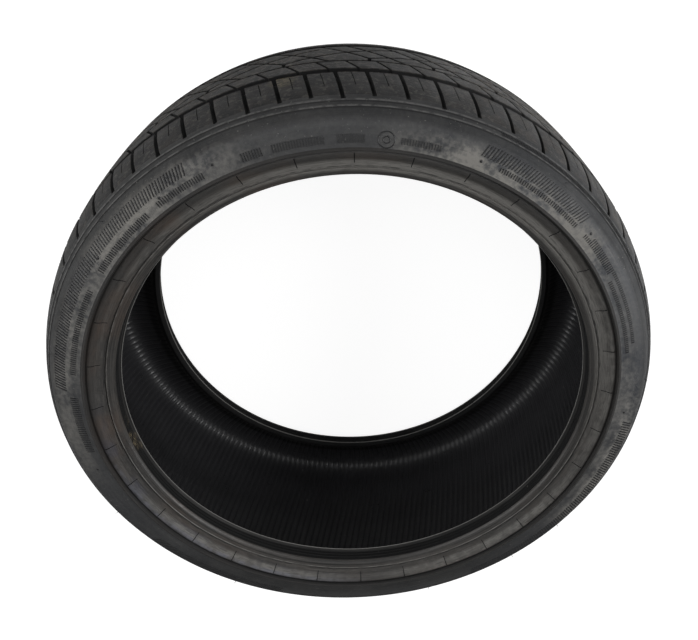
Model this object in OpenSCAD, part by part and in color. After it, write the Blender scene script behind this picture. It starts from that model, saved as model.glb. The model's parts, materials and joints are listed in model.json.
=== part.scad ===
// A low profile road tyre for a 19 inch rim, lying flat on one side wall.
// The origin is at the middle of the tyre, on its axis, and the axis is Z.
// The section is drawn as radius and height, and its halves are alike but for one groove
// and for the slots of the lower shoulder, which start farther out.

/* [Main sizes] */
// Diameter over the tread
tyre_d = 647; // [640:1:660]
// Diameter of the bead seats, where the rim goes in
seat_d = 487; // [484:0.5:490]
// Depth of each cylindrical bead seat
seat_len = 10; // [8:0.5:12]
// Width over the rim protector edges
side_w = 252.4; // [248:0.2:258]
// Diameter of the sharp edge of the rim protectors
protector_d = 542.4; // [539:0.2:548]
// Distance between the two bead toes
toe_gap = 193.6; // [190:0.2:198]
// Width of the tread, between the shoulder edges
tread_w = 200; // [196:1:204]
// Fall of the tread from its middle to its shoulder edge
tread_fall = 10.7; // [8:0.1:12]

/* [Walls] */
// Wall under the tread surface
crown_t = 14; // [12.5:0.5:16]
// Side wall
side_t = 10; // [7:0.5:12]
// Bead, from its toe side to its heel side
bead_t = 17; // [15:0.5:19]
// How far each toe stands inside its seat
toe_lip = 2.5; // [1.5:0.5:3]
// Depth of the crease just inside the rim protector edge
protector_crease = 3.2; // [1:0.2:4]
// Height of the two fine ribs round each shoulder
shoulder_rib_h = 0.8; // [0.4:0.1:1.2]

/* [Tread] */
// Depth of the grooves that run round the tread
groove_depth = 7.5; // [5:0.5:8]
// Width of the outer groove
outer_groove_w = 11; // [8:0.5:12]
// Middle of the outer groove, from the middle of the tread
outer_groove_z = 51.5; // [48:0.5:54]
// Width of the inner groove
inner_groove_w = 4; // [3:0.5:6]
// Middle of the inner groove, from the middle of the tread
inner_groove_z = 19.5; // [18:0.5:22]
// Number of pattern pitches round the tread
pitches = 64; // [60:4:72]
// How far the pitches drift round the tyre, in degrees, so that the tread hums less
pitch_drift = 1.6; // [0:0.1:1.8]
// Smaller and faster drift on top of it, in degrees
pitch_flutter = 0.5; // [0:0.1:0.6]
// How far the branching grooves in the middle drift round the tyre, in degrees
branch_drift = 1.4; // [0:0.1:1.6]
// Width of the shoulder slots
slot_w = 4.4; // [3:0.2:5]
// Depth of the shoulder slots
slot_depth = 6.5; // [4:0.5:7]
// Height, from the middle of the tread, where the slots of the lower shoulder start
low_slot_z = 84; // [60:1:88]
// Lean of the shoulder slots against the axis
slot_lean = 8; // [0:1:12]
// Width of the cuts across the rib between the grooves
rib_cut_w = 2.6; // [2:0.2:4]
// Depth of the cuts across the rib
rib_cut_depth = 5; // [3:0.5:6]
// Lean of the cuts across the rib
rib_cut_lean = 26; // [20:1:36]
// Number of branching grooves in the middle of the tread
branches = 28; // [24:1:30]
// Width of the branching grooves
branch_w = 3; // [2:0.2:4]
// Depth of the branching grooves
branch_depth = 5.5; // [3:0.5:6]
// Lean of the branches that run more across the tread
steep_lean = 40; // [30:1:45]
// Lean of the branches that run more along the tread
flat_lean = 68; // [60:1:70]
// Width of the short stem that each pair of branches leaves from
stem_w = 6; // [4:0.5:8]

/* [Hidden] */

tread_r = tyre_d / 2;
seat_r = seat_d / 2;
side_z = side_w / 2;
edge_r = protector_d / 2;
toe_z = toe_gap / 2;
tread_z = tread_w / 2;
heel_z = toe_z + toe_lip + seat_len;
shoulder_r = crown_r(tread_z);
pitch_angle = 360 / pitches;
half_turn = floor(pitches / 2);
places = [for (i = [-half_turn : half_turn - 1]) i];
arc_steps = 8;
crown_steps = 5;

// Radius that every cutter reaches
cut_out = tread_r + 6;

// Height of the foot of each stem, depth of the flat branches below the middle, and their stretches
stem_foot = inner_groove_z - 9.5;
branch_foot = 35;
flat_steps = 3;

// Radius of the tread surface at a height from its middle
function crown_r(z) = let (a = z / tread_z) tread_r - tread_fall * (0.3 * a * a + 0.7 * pow(a, 4));

// One point of a curve from a to c that leaves and ends towards b
function bend_at(a, b, c, t) = (1 - t) * (1 - t) * a + 2 * t * (1 - t) * b + t * t * c;

// All points of such a curve
function bend(a, b, c) = [for (i = [0 : arc_steps]) bend_at(a, b, c, i / arc_steps)];

// Crown surface between two heights
function crown(z1, z2) =
    [for (i = [0 : crown_steps]) let (z = z1 + (z2 - z1) * i / crown_steps) [crown_r(z), z]];

// Section of a groove that runs round the tread, from its outer to its inner edge
function groove(z, w) = let (out = z + w / 2, in = z - w / 2, taper = w / 6, floor_r = crown_r(z) - groove_depth)
    [[crown_r(out), out], [floor_r, out - taper], [floor_r, in + taper], [crown_r(in), in]];

// The same points on the other half of the tyre, in the opposite order
function mirrored(points) = [for (i = [len(points) - 1 : -1 : 0]) [points[i][0], -points[i][1]]];

// Bead: toe, cylindrical seat, rounded heel, hollow and then bulged face
heel_in = [seat_r, heel_z];
heel_corner = [seat_r, heel_z + 5.5];
heel_out = [seat_r + 7, heel_z + 6.5];
face_hollow = [seat_r + 14, heel_z + 7.3];
face_mid = [edge_r - 9.5, side_z - 6.5];
face_bulge = [edge_r - 5, side_z - 2.4];
crease = [edge_r - 2.3, side_z - 1 - protector_crease];
bead_path = concat([[seat_r - toe_lip, toe_z], [seat_r, toe_z + toe_lip]],
    bend(heel_in, heel_corner, heel_out), bend(heel_out, face_hollow, face_mid),
    bend(face_mid, face_bulge, crease));

// Rim protector: a sharp edge that stands proud of the side wall
edge_out = [edge_r + 2.4, side_z - 1.2];
protector_path = [[edge_r - 0.9, side_z - 0.6], [edge_r, side_z], edge_out];

// Side wall and shoulder
side_top = [shoulder_r - 13.8, side_z - 6.7];
side_bulge = [(side_top[0] + edge_out[0]) / 2, side_z - 2.6];
shoulder_bulge = [shoulder_r - 9.5, side_z - 7.8];
shoulder_edge = [shoulder_r, tread_z];

// One point of the shoulder, from the side wall at 0 to the tread at 1
function shoulder_at(t) = bend_at(side_top, shoulder_bulge, shoulder_edge, t);

// Part of the shoulder between two such places
function shoulder(t1, t2, steps) = [for (i = [0 : steps]) shoulder_at(t1 + (t2 - t1) * i / steps)];

// A fine rib on the shoulder, centred at t
function shoulder_rib(t) = let (a = shoulder_at(t - 0.035), b = shoulder_at(t + 0.035),
    along = (b - a) / norm(b - a), out = shoulder_rib_h * [-along[1], along[0]])
    [a, a + 0.25 * (b - a) + out, b - 0.25 * (b - a) + out, b];

low_rib_t = 0.62;
high_rib_t = 0.84;
side_path = concat(bend(edge_out, side_bulge, side_top), shoulder(0.1, low_rib_t - 0.06, 3),
    shoulder_rib(low_rib_t), [shoulder_at((low_rib_t + high_rib_t) / 2)],
    shoulder_rib(high_rib_t), [shoulder_at(0.93)]);

// Tread from the shoulder edge to the outer groove, and from there to the other outer groove
outer_out = outer_groove_z + outer_groove_w / 2;
outer_in = outer_groove_z - outer_groove_w / 2;
inner_out = inner_groove_z + inner_groove_w / 2;
inner_in = inner_groove_z - inner_groove_w / 2;
outer_path = concat(crown(tread_z, outer_out + 1), groove(outer_groove_z, outer_groove_w));
middle_path = concat(crown(outer_in - 1, inner_out + 1), groove(inner_groove_z, inner_groove_w),
    crown(inner_in - 1, 1 - outer_in));

// Inside of the casing, from the middle of the crown to the toe
liner_r = tread_r - crown_t;
liner_z = side_z - side_t - 2.6;
liner_side = [liner_r - 22, liner_z];
bead_in = [seat_r + 9, heel_z + 6.5 - bead_t];
liner_path = concat(bend([liner_r - 2.5, tread_z - 22], [liner_r - 4, liner_z - 1], liner_side),
    bend(liner_side, [liner_r - 38, liner_z], bead_in), [[seat_r + 1, toe_z - 1.4]]);

// Closed outline of the whole section; only the inner groove has no twin on the other half
half_out = concat(bead_path, protector_path, side_path, outer_path);
section = concat(half_out, middle_path, mirrored(half_out), mirrored(liner_path), [[liner_r, 0]],
    liner_path);

// Direction of a pitch, counted from +Y towards +X, with the drift of the pitches
function pitch_at(i) = let (turn = i * pitch_angle)
    90 - turn - pitch_drift * sin(3 * turn - 122) - pitch_flutter * sin(8 * turn - 178);

// Direction of a stem of the branching grooves, with a drift of its own
function branch_at(i) = let (turn = i * 360 / branches) 87.6 - turn - branch_drift * cos(8 * turn);

// The same cutter in several directions round the tread
module round_tread(directions) {
    for (direction = directions) rotate([0, 0, direction]) children();
}

// A flat cutter that stands on its edge in the tread and leans about height z
module cutter(outline, width, lean, z) {
    translate([0, 0, z]) rotate([lean, 0, 0]) translate([0, 0, -z]) rotate([90, 0, 0])
        translate([0, 0, -width / 2]) linear_extrude(width) polygon(outline);
}

// Slot from a height over the shoulder, down to the shoulder's place t
module shoulder_slot(start, t) {
    foot = shoulder_at(t);
    cutter([[crown_r(start) - slot_depth, start],
        [shoulder_r - slot_depth + 2.5, tread_z - 10], foot, [cut_out, foot[1] + 4],
        [cut_out, start]], slot_w, slot_lean, tread_z - 20);
}

// Cut across the rib between the two grooves
module rib_cut() {
    outer_end = outer_groove_z - 1;
    inner_end = inner_groove_z + 1;
    cutter([[crown_r(outer_in) - rib_cut_depth, outer_end], [crown_r(inner_out) - rib_cut_depth, inner_end],
        [cut_out, inner_end], [cut_out, outer_end]], rib_cut_w, rib_cut_lean, (outer_in + inner_out) / 2);
}

// A straight stretch of groove between two heights
module stretch(z1, z2, lean, width) {
    mid = (z1 + z2) / 2;
    reach = (z1 - z2) / 2 / cos(lean);
    floor_r = tread_r - branch_depth;
    cutter([[floor_r, mid - reach], [floor_r, mid + reach], [cut_out, mid + reach],
        [cut_out, mid - reach]], width, lean, mid);
}

// Turn round the tyre that a leaning groove makes over a height
function travel(height, lean) = height * tan(lean) / tread_r * 180 / PI;

// Groove that runs across the middle from a height down to the far outer groove
module steep_branch(top) {
    rotate([0, 0, travel((top + outer_in) / 2, steep_lean)]) stretch(top, -outer_in, steep_lean, branch_w);
}

// Long flat groove from the foot of a stem, in short stretches that follow the tread
module flat_branch() {
    step = (stem_foot + branch_foot) / flat_steps;
    for (i = [0 : flat_steps - 1]) let (top = stem_foot - i * step)
        rotate([0, 0, -travel(stem_foot - top + step / 2, flat_lean)])
            stretch(top, top - step, -flat_lean, branch_w);
}

// Slots of one shoulder from a height; every third one runs on to the upper rib
module shoulder_slots(start) {
    round_tread([for (i = places) if (i % 3 == 0) pitch_at(i)]) shoulder_slot(start, high_rib_t);
    round_tread([for (i = places) if (i % 3 != 0) pitch_at(i)]) shoulder_slot(start, 0.95);
}

// Branching grooves from the inner groove across the middle
module branching_grooves() {
    roots = [for (i = [0 : branches - 1]) branch_at(i)];
    round_tread(roots) stretch(inner_in + 1, stem_foot - branch_w / 2, 0, stem_w);
    round_tread(roots) steep_branch(stem_foot);
    round_tread(roots) flat_branch();
    round_tread([for (i = [0 : branches - 1]) branch_at(i + 0.5)]) steep_branch(inner_in + 1);
}

module tyre() color([0.13, 0.13, 0.14]) difference() {
    rotate_extrude($fn = 180) polygon(section);
    shoulder_slots(outer_groove_z);
    rotate([180, 0, 0]) shoulder_slots(low_slot_z);
    round_tread([for (i = places) pitch_at(i - 0.55)]) rib_cut();
    branching_grooves();
}

tyre();
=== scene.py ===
"""Low profile car tyre, lying on one side wall: moulded casing, liner ribs, wall hatching and vent hairs."""

import json
import logging
import math
import random
from collections.abc import Callable, Iterable, Sequence
from dataclasses import dataclass, field
from enum import Enum
from typing import Any

import bmesh
import bpy
import numpy as np
from mathutils import Matrix, Vector


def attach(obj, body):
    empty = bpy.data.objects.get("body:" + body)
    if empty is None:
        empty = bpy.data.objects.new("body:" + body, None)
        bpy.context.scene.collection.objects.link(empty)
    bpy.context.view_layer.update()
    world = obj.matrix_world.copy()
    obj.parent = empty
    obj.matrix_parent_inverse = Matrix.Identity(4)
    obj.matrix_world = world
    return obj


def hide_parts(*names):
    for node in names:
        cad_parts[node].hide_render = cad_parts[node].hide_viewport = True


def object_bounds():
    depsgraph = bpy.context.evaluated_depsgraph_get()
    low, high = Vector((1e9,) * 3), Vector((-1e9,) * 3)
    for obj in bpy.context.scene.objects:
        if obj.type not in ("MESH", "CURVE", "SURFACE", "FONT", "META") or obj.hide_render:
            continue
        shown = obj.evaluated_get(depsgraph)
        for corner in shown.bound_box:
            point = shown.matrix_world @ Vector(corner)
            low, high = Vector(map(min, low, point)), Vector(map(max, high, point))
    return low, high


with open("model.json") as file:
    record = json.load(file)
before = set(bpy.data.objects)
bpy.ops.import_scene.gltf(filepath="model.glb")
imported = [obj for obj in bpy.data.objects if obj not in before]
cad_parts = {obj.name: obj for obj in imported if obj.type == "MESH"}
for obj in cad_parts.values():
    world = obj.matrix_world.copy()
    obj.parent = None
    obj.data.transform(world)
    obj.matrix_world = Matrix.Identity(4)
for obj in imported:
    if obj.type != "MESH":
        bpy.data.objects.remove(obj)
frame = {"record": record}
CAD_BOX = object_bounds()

LOG = logging.getLogger("tyre")
MM = 0.001
BODY = "root"
NODE = "tyre"
PHOTO_SIZE = (698, 640)
FLIP = Matrix.Rotation(math.pi, 4, "X")

Point = tuple[float, float]
Place = tuple[float, Point, Point]
Run = tuple[float, float, float, float]
Beam = tuple[float, float, float]
Colour = tuple[float, float, float]
BLACK = (0.0025, 0.0025, 0.0027)


class Region(Enum):
    """Stretches of the section that have a finish of their own, in the order of the material slots."""

    TREAD = 0
    WALL = 1
    BEAD = 2
    LINER = 3


def blend_at(a: Point, b: Point, c: Point, t: float) -> Point:
    """Returns one point of the curve from a to c that leaves and ends towards b."""
    u = 1.0 - t
    return (u * u * a[0] + 2 * t * u * b[0] + t * t * c[0], u * u * a[1] + 2 * t * u * b[1] + t * t * c[1])


def blend(a: Point, b: Point, c: Point, steps: int) -> list[Point]:
    """Returns the points of that curve, both ends included."""
    return [blend_at(a, b, c, i / steps) for i in range(steps + 1)]


def turn_to(direction: float) -> Matrix:
    """Returns the turn about the axis that takes +Y to a direction, counted towards +X."""
    return Matrix.Rotation(-math.radians(direction), 4, "Z")


def select_only(obj: bpy.types.Object) -> None:
    """Makes one object the only selected and active one.

    Args:
        obj: The object.
    """
    if bpy.context.object and bpy.context.object.mode != "OBJECT":
        bpy.ops.object.mode_set(mode="OBJECT")
    bpy.ops.object.select_all(action="DESELECT")
    obj.select_set(True)
    bpy.context.view_layer.objects.active = obj


def smooth(obj: bpy.types.Object, angle: float) -> None:
    """Shades a piece smooth but for its sharp edges.

    Args:
        obj: The piece.
        angle: Angle in degrees from which an edge is sharp.
    """
    select_only(obj)
    bpy.ops.object.shade_smooth_by_angle(angle=math.radians(angle))


def join(parts: Sequence[bpy.types.Object], name: str) -> bpy.types.Object:
    """Joins several objects into one.

    Args:
        parts: The objects, which are used up.
        name: Name of the joined object and its mesh.

    Returns:
        The joined object.
    """
    select_only(parts[0])
    for part in parts[1:]:
        part.select_set(True)
    bpy.ops.object.join()
    parts[0].name = name
    parts[0].data.name = name
    return parts[0]


def copy_turned(template: bpy.types.Object, turns: Iterable[Matrix]) -> list[bpy.types.Object]:
    """Copies an object once for each turn, each copy with its own mesh, and removes the template.

    Args:
        template: The object that is copied.
        turns: One matrix for each copy.

    Returns:
        The copies.
    """
    copies = []
    for turn in turns:
        mesh = template.data.copy()
        mesh.transform(turn)
        copy = bpy.data.objects.new(template.name, mesh)
        bpy.context.collection.objects.link(copy)
        copies.append(copy)
    bpy.data.objects.remove(template)
    return copies


def sweep(name: str, outlines: Sequence[Sequence[Vector]]) -> bpy.types.Object:
    """Models a closed bar by extruding one outline to the next.

    Args:
        name: Name of the object.
        outlines: Outlines with the same number of points, in metres, along the bar.

    Returns:
        The bar, with its faces pointing outwards.
    """
    bpy.ops.object.select_all(action="DESELECT")
    bpy.ops.mesh.primitive_circle_add(vertices=len(outlines[0]), radius=MM, fill_type="NGON")
    obj = bpy.context.object
    obj.name = obj.data.name = name
    bpy.ops.object.mode_set(mode="EDIT")
    bpy.ops.mesh.select_all(action="SELECT")
    shape = bmesh.from_edit_mesh(obj.data)
    shape.verts.ensure_lookup_table()
    for vert, place in zip(shape.verts, outlines[0]):
        vert.co = place
    for before, after in zip(outlines, outlines[1:]):
        bpy.ops.mesh.extrude_region()
        shape = bmesh.from_edit_mesh(obj.data)
        moving = [vert for vert in shape.verts if vert.select]
        for vert in moving:
            nearest = min(range(len(before)), key=lambda i: (before[i] - vert.co).length_squared)
            vert.co = after[nearest]
        bmesh.update_edit_mesh(obj.data)
    bpy.ops.mesh.select_all(action="SELECT")
    bpy.ops.mesh.normals_make_consistent(inside=False)
    bpy.ops.object.mode_set(mode="OBJECT")
    return obj


@dataclass(frozen=True)
class Section:
    """Half section of the tyre in millimetres, as radius and height, with the same curves as the frame."""

    seat_r: float
    side_z: float
    tread_r: float = 323.5
    edge_r: float = 271.2
    toe_z: float = 96.8
    toe_lip: float = 2.5
    seat_len: float = 10.0
    heel_h: float = 6.5
    tread_z: float = 100.0
    tread_fall: float = 10.7
    crown_t: float = 14.0
    side_t: float = 10.0
    bead_t: float = 17.0
    crease_depth: float = 3.2
    groove_depth: float = 7.5
    outer_groove_z: float = 51.5
    outer_groove_w: float = 11.0
    inner_groove_z: float = 19.5
    inner_groove_w: float = 4.0
    groove_room: float = 1.6
    lip: float = 0.5
    liner_turn: float = 22.0
    liner_fall: float = 2.5
    rib_h: float = 0.7
    rib_half: float = 0.035
    rib_places: tuple[float, float] = (0.62, 0.84)
    rib_tops: tuple[Point, ...] = ((0.22, 1.0), (0.5, 1.15), (0.78, 1.0))
    seat_ring: tuple[Point, ...] = ((0, -0.7), (-0.5, -0.3), (-0.5, 0.3), (0, 0.7))
    heel_line: tuple[Point, ...] = ((0, 0), (0.4, 0.5), (0.9, 0.45), (1.2, -0.75), (1.9, -0.75), (2.3, 0.2))
    edge: tuple[Point, ...] = ((-1.3, -4.3), (-0.95, -1.2), (-0.55, -0.3), (0, 0), (0.8, -0.25), (1.6, -0.85))

    @property
    def heel_z(self) -> float:
        """Height where the bead seat ends and the heel begins."""
        return self.toe_z + self.toe_lip + self.seat_len

    @property
    def shoulder_r(self) -> float:
        """Radius of the shoulder edge."""
        return self.crown_r(self.tread_z)

    @property
    def side_top(self) -> Point:
        """Upper end of the side wall."""
        return (self.shoulder_r - 13.8, self.side_z - 6.7)

    @property
    def wall_foot(self) -> Point:
        """Lower end of the side wall, at the rim protector."""
        return (self.edge_r + 2.4, self.side_z - 1.2)

    def crown_r(self, z: float) -> float:
        """Returns the radius of the tread surface at a height."""
        a = z / self.tread_z
        return self.tread_r - self.tread_fall * (0.3 * a * a + 0.7 * a**4)

    def crown(self, z1: float, z2: float, steps: int) -> list[Point]:
        """Returns the tread surface between two heights."""
        return [(self.crown_r(z), z) for z in np.linspace(z1, z2, steps + 1)]

    def shoulder_at(self, t: float) -> Point:
        """Returns one point of the shoulder, from the side wall at 0 to the tread at 1."""
        bulge = (self.shoulder_r - 9.5, self.side_z - 7.8)
        return blend_at(self.side_top, bulge, (self.shoulder_r, self.tread_z), t)

    def shoulder_rib(self, t: float) -> list[Point]:
        """Outlines one fine rib on the shoulder.

        Args:
            t: Its place, as shoulder_at takes it.

        Returns:
            The rib's points.
        """
        a, b = Vector(self.shoulder_at(t - self.rib_half)), Vector(self.shoulder_at(t + self.rib_half))
        along = (b - a).normalized()
        out = Vector((-along.y, along.x)) * self.rib_h
        tops = [a.lerp(b, share) + out * rise for share, rise in self.rib_tops]
        return [tuple(point) for point in (a, *tops, b)]

    def groove(self, z: float, w: float) -> list[Point]:
        """Outlines a groove that runs round the tread, with softened lips and floor.

        Args:
            z: Height of its middle.
            w: Its width.

        Returns:
            Its points, from above to below.
        """
        floor_r = self.crown_r(z) - self.groove_depth
        taper, lip = w / 6, self.lip
        half = [
            (self.crown_r(z + w / 2 + lip), w / 2 + lip),
            (self.crown_r(z) - 0.25 * lip, w / 2 + 0.25 * lip),
            (self.crown_r(z) - 1.4 * lip, w / 2 - 0.1),
            (floor_r + 1.2, w / 2 - taper + 0.2),
            (floor_r, w / 2 - taper - 0.7),
        ]
        return [(r, z + d) for r, d in half] + [(r, z - d) for r, d in reversed(half)]

    def bead(self) -> list[Point]:
        """Outlines the bead.

        Returns:
            The points from the toe over the seat with its two rings, the heel and the face to the crease.
        """
        seat_r, heel_z, top_z = self.seat_r, self.heel_z, self.toe_z + self.toe_lip
        toe = [(seat_r - self.toe_lip + 0.3, self.toe_z - 0.4), (seat_r - self.toe_lip, self.toe_z)]
        seat = [(seat_r - 0.2, top_z), (seat_r, top_z + 0.6)]
        for height in (top_z + 3.4, heel_z - 2.4):
            seat += [(seat_r + dr, height + dz) for dr, dz in self.seat_ring]
        face_foot = (seat_r + 7, heel_z + self.heel_h)
        heel = blend((seat_r, heel_z), (seat_r, heel_z + 5.5), face_foot, 6)
        hollow, middle = (seat_r + 14, heel_z + 7.3), (self.edge_r - 9.5, self.side_z - 6.5)
        bulge = (self.edge_r - 5, self.side_z - 2.4)
        crease = (self.edge_r - 1.9, self.side_z - 1 - self.crease_depth)
        face = blend(face_foot, hollow, middle, 6)[2:]
        return toe + seat + heel + self.heel_ring() + face + blend(middle, bulge, crease, 7)[1:]

    def heel_ring(self) -> list[Point]:
        """Returns the fitting line round the heel: a fine ridge with a groove outside it."""
        r, z = self.seat_r + 7.4, self.heel_z + 6.55
        return [(r + dr, z + dz) for dr, dz in self.heel_line]

    def protector(self) -> list[Point]:
        """Returns the outline of the rim protector edge."""
        return [(self.edge_r + dr, self.side_z + dz) for dr, dz in self.edge]

    def wall(self) -> list[Point]:
        """Outlines the side wall.

        Returns:
            The points from the protector to the shoulder, with its two fine ribs.
        """
        bulge = ((self.side_top[0] + self.wall_foot[0]) / 2, self.side_z - 2.6)
        low, high = self.rib_places
        run = blend(self.wall_foot, bulge, self.side_top, 9)
        run += [self.shoulder_at(t) for t in np.linspace(0.1, low - 2 * self.rib_half, 5)]
        run += self.shoulder_rib(low) + [self.shoulder_at(t) for t in (0.69, 0.73, 0.77)]
        return run + self.shoulder_rib(high) + [self.shoulder_at(t) for t in (0.9, 0.95)]

    def wall_at(self, r: float) -> float:
        """Returns the height of the side wall at a radius."""
        run = sorted(self.wall() + [(self.shoulder_r, self.tread_z)])
        return float(np.interp(r, [p[0] for p in run], [p[1] for p in run]))

    def wall_rise(self, r: float, reach: float) -> float:
        """Returns how much the side wall rises from a reach inside a radius to a reach outside it."""
        return self.wall_at(r + reach) - self.wall_at(r - reach)

    def shoulder_tread(self) -> list[Point]:
        """Returns the tread from the shoulder edge down into the outer groove."""
        out = self.outer_groove_z + self.outer_groove_w / 2 + self.groove_room
        return self.crown(self.tread_z, out, 8) + self.groove(self.outer_groove_z, self.outer_groove_w)

    def middle_tread(self) -> list[Point]:
        """Outlines the tread between the two outer grooves.

        Returns:
            The points from the upper one down to the lower one, with the inner groove.
        """
        out = self.outer_groove_z - self.outer_groove_w / 2
        high = self.inner_groove_z + self.inner_groove_w / 2
        low = self.inner_groove_z - self.inner_groove_w / 2
        return (
            self.crown(out - self.groove_room, high + self.groove_room, 4)
            + self.groove(self.inner_groove_z, self.inner_groove_w)
            + self.crown(low - self.groove_room, self.groove_room - out, 9)
        )

    def liner(self) -> list[Point]:
        """Outlines the upper half of the inside.

        Returns:
            The points from the middle of the crown to the toe.
        """
        liner_r, liner_z = self.tread_r - self.crown_t, self.side_z - self.side_t - 2.6
        flat_z, fall = self.tread_z - self.liner_turn, self.liner_fall
        side = (liner_r - self.liner_turn, liner_z)
        bead_in = (self.seat_r + 9, self.heel_z + self.heel_h - self.bead_t)
        crown = [(liner_r - fall * (z / flat_z) ** 2, z) for z in np.linspace(0, flat_z, 5)[:-1]]
        shoulder = blend((liner_r - fall, flat_z), (liner_r - 4, liner_z - 1), side, 7)
        wall = blend(side, (liner_r - 38, liner_z), bead_in, 6)[1:]
        toe = [(self.seat_r + 3.5, self.toe_z - 2.6), (self.seat_r - 0.6, self.toe_z - 1.5)]
        return crown + shoulder + wall + toe

    def outline(self) -> list[tuple[Point, Region]]:
        """Outlines the whole section.

        Returns:
            The points of the closed outline, each with the region that starts there.
        """
        outside = self.bead() + self.protector()
        half = [(p, Region.LINER if p[0] < self.seat_r + 0.1 else Region.BEAD) for p in outside]
        half += [(p, Region.WALL) for p in self.wall()] + [(p, Region.TREAD) for p in self.shoulder_tread()]
        twin = [((r, -z), region) for (r, z), region in reversed(half)]
        inside = self.liner()
        lower = [((r, -z), Region.LINER) for r, z in reversed(inside[1:])]
        upper = [(p, Region.LINER) for p in inside]
        return half + [(p, Region.TREAD) for p in self.middle_tread()] + twin + lower + upper


@dataclass(frozen=True)
class PatternPlan:
    """Directions of the repeated cuts, in degrees from +Y towards +X, as the frame has them."""

    pitches: int = 64
    drift: float = 1.6
    drift_phase: float = 122.0
    flutter: float = 0.5
    flutter_phase: float = 178.0
    branches: int = 28
    branch_start: float = 2.4
    branch_drift: float = 1.4

    def pitch_at(self, i: float) -> float:
        """Finds the direction of a pitch.

        Args:
            i: Its number, which may lie between two pitches.

        Returns:
            The direction in degrees.
        """
        turn = i * 360 / self.pitches
        wave = self.drift * math.sin(math.radians(3 * turn - self.drift_phase))
        return turn + wave + self.flutter * math.sin(math.radians(8 * turn - self.flutter_phase))

    def branch_at(self, i: float) -> float:
        """Returns the direction of a stem of the branching grooves."""
        turn = i * 360 / self.branches
        return turn + self.branch_start + self.branch_drift * math.cos(math.radians(8 * turn))

    def places(self) -> range:
        """Returns the numbers of all pitches."""
        return range(-(self.pitches // 2), self.pitches // 2)


@dataclass(frozen=True)
class Cut:
    """Cross section of a cut in the surface: width, depth and softened lip, all in millimetres."""

    width: float
    depth: float
    lip: float = 0.4
    rise: float = 2.5
    plain_width: float = 1.0

    def outline(self, share: float = 1.0) -> list[Point]:
        """Outlines the cut.

        Args:
            share: Share of the full depth.

        Returns:
            Distance across and height of each point, with a simpler floor for a narrow cut.
        """
        w, d, c = self.width / 2, max(self.depth * share, self.lip * 1.6), self.lip
        top = [(w + c, 0.0), (w + c + self.rise, self.rise)]
        if self.width < self.plain_width:
            half = [(w * 0.8, -d), (w, -1.2 * c), *top]
        else:
            half = [(w * 0.55, -d), (w * 0.9, -d * 0.86), (w, -1.3 * c), (w + 0.3 * c, -0.4 * c), *top]
        return half + [(-across, height) for across, height in reversed(half)]


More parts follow.
